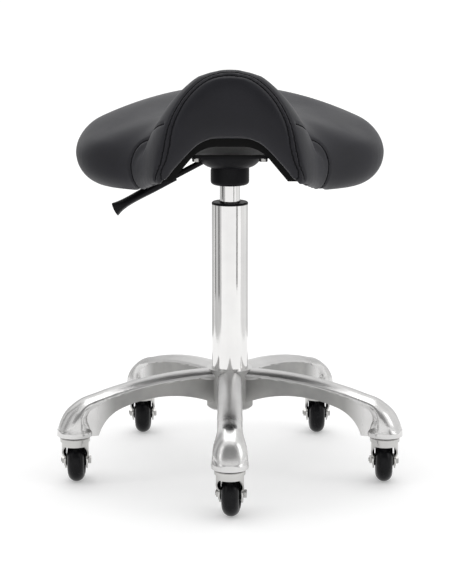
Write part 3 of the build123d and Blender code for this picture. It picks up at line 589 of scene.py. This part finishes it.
def plane(name, size, place, turn=(0, 0, 0)):
    """A flat square of the studio."""
    bm = bmesh.new()
    bmesh.ops.create_grid(bm, x_segments=1, y_segments=1, size=size / 2)
    mesh = bpy.data.meshes.new(name)
    bm.to_mesh(mesh)
    bm.free()
    obj = bpy.data.objects.new(name, mesh)
    obj.location = place
    obj.rotation_euler = turn
    scene.collection.objects.link(obj)
    return obj


floor = plane("floor", FLOOR_SIZE, (0, 0, -FLOOR_DROP))
floor.data.materials.append(floor_material())


def softbox(name, place, width, height, power):
    """A soft rectangular studio lamp that looks at the stool."""
    lamp = bpy.data.lights.new(name, "AREA")
    lamp.shape = "RECTANGLE"
    lamp.size = width
    lamp.size_y = height
    lamp.energy = power
    obj = bpy.data.objects.new(name, lamp)
    obj.location = place
    obj.rotation_euler = (Vector(LAMP_TARGET) - Vector(place)).to_track_quat("-Z", "Y").to_euler()
    scene.collection.objects.link(obj)


softbox("top_box", (0.0, 0.3, 2.2), width=2.0, height=1.6, power=16)
for name, side in (("left_box", -1), ("right_box", 1)):
    softbox(name, (1.9 * side, -0.8, 1.3), width=0.8, height=1.6, power=5)


def flag(name, azimuth, distance, low, high, width, tone):
    """An upright studio panel that only shows in reflections, its azimuth from the front to the right."""
    turn = math.radians(azimuth)
    place = (distance * math.sin(turn), -distance * math.cos(turn), (low + high) / 2)
    obj = plane(name, 1, place, (math.pi / 2, 0, turn))
    obj.scale = (width, high - low, 1)
    mat, tree, _ = new_material(name)
    glow = add(tree, "ShaderNodeEmission")
    darker, lighter = [(tone * share,) * 3 for share in FLAG_SHADE]
    shade = tint(tree, noise(tree, object_point(tree), 2, 2), darker, lighter)
    tree.links.new(shade, glow.inputs["Color"])
    tree.links.new(glow.outputs[0], tree.nodes["Material Output"].inputs["Surface"])
    obj.data.materials.append(mat)
    obj.visible_camera = False
    obj.visible_diffuse = False
    obj.visible_shadow = False
    obj.visible_transmission = False
    obj.visible_volume_scatter = False


# Name, azimuth, distance, lower and upper edge, width and tone of each flag.
FLAGS = [
    ("panel_left", -85, 0.85, 0.0, 1.2, 1.0, 0.66),
    ("panel_right", 100, 0.85, 0.0, 1.2, 0.9, 0.90),
    ("panel_rear_left", -145, 0.85, 0.0, 0.5, 0.8, 0.60),
    ("panel_rear_right", 150, 0.85, 0.0, 0.5, 0.7, 0.72),
    ("panel_front", 0, 1.2, 0.50, 2.0, 2.4, 0.28),
    ("strip_left", -73, 0.75, 0.1, 1.2, 0.15, 0.22),
    ("strip_far_left", -103, 0.75, 0.1, 1.2, 0.10, 0.22),
    ("strip_right", 45, 0.75, 0.12, 1.2, 0.12, 0.30),
]
for values in FLAGS:
    flag(*values)

world = bpy.data.worlds.new("studio")
scene.world = world
world.use_nodes = True
tree = world.node_tree
tree.nodes.clear()
out = add(tree, "ShaderNodeOutputWorld")
plain = add(tree, "ShaderNodeBackground", Color=(1, 1, 1, 1), Strength=WORLD_LIGHT)
white = add(tree, "ShaderNodeBackground", Color=(1, 1, 1, 1), Strength=1.0)
mix = add(tree, "ShaderNodeMixShader")
tree.links.new(background_rays(tree), mix.inputs["Fac"])
tree.links.new(plain.outputs[0], mix.inputs[1])
tree.links.new(white.outputs[0], mix.inputs[2])
tree.links.new(mix.outputs[0], out.inputs["Surface"])

CAMERA_DISTANCE = 2.600
CAMERA_HEIGHT = 0.791
CAMERA_PITCH = 11.62  # degrees down
FOCAL_PIXELS = 1916
COLUMN_PIXEL = 229.9  # of the column's axis in the photo, from its left edge
SENSOR_HEIGHT = 36
VIEW_LENGTH = 200
camera_data = bpy.data.cameras.new("camera")
camera_data.sensor_fit = "VERTICAL"
camera_data.sensor_height = SENSOR_HEIGHT
camera_data.lens = FOCAL_PIXELS / IMAGE_HEIGHT * SENSOR_HEIGHT
camera_data.shift_x = (IMAGE_WIDTH / 2 - COLUMN_PIXEL) / IMAGE_HEIGHT
camera_data.clip_end = VIEW_LENGTH
camera = bpy.data.objects.new("camera", camera_data)
camera.location = (0, -CAMERA_DISTANCE, CAMERA_HEIGHT)
camera.rotation_euler = (math.radians(90 - CAMERA_PITCH), 0, 0)
scene.collection.objects.link(camera)
scene.camera = camera
scene.view_settings.view_transform = "Standard"
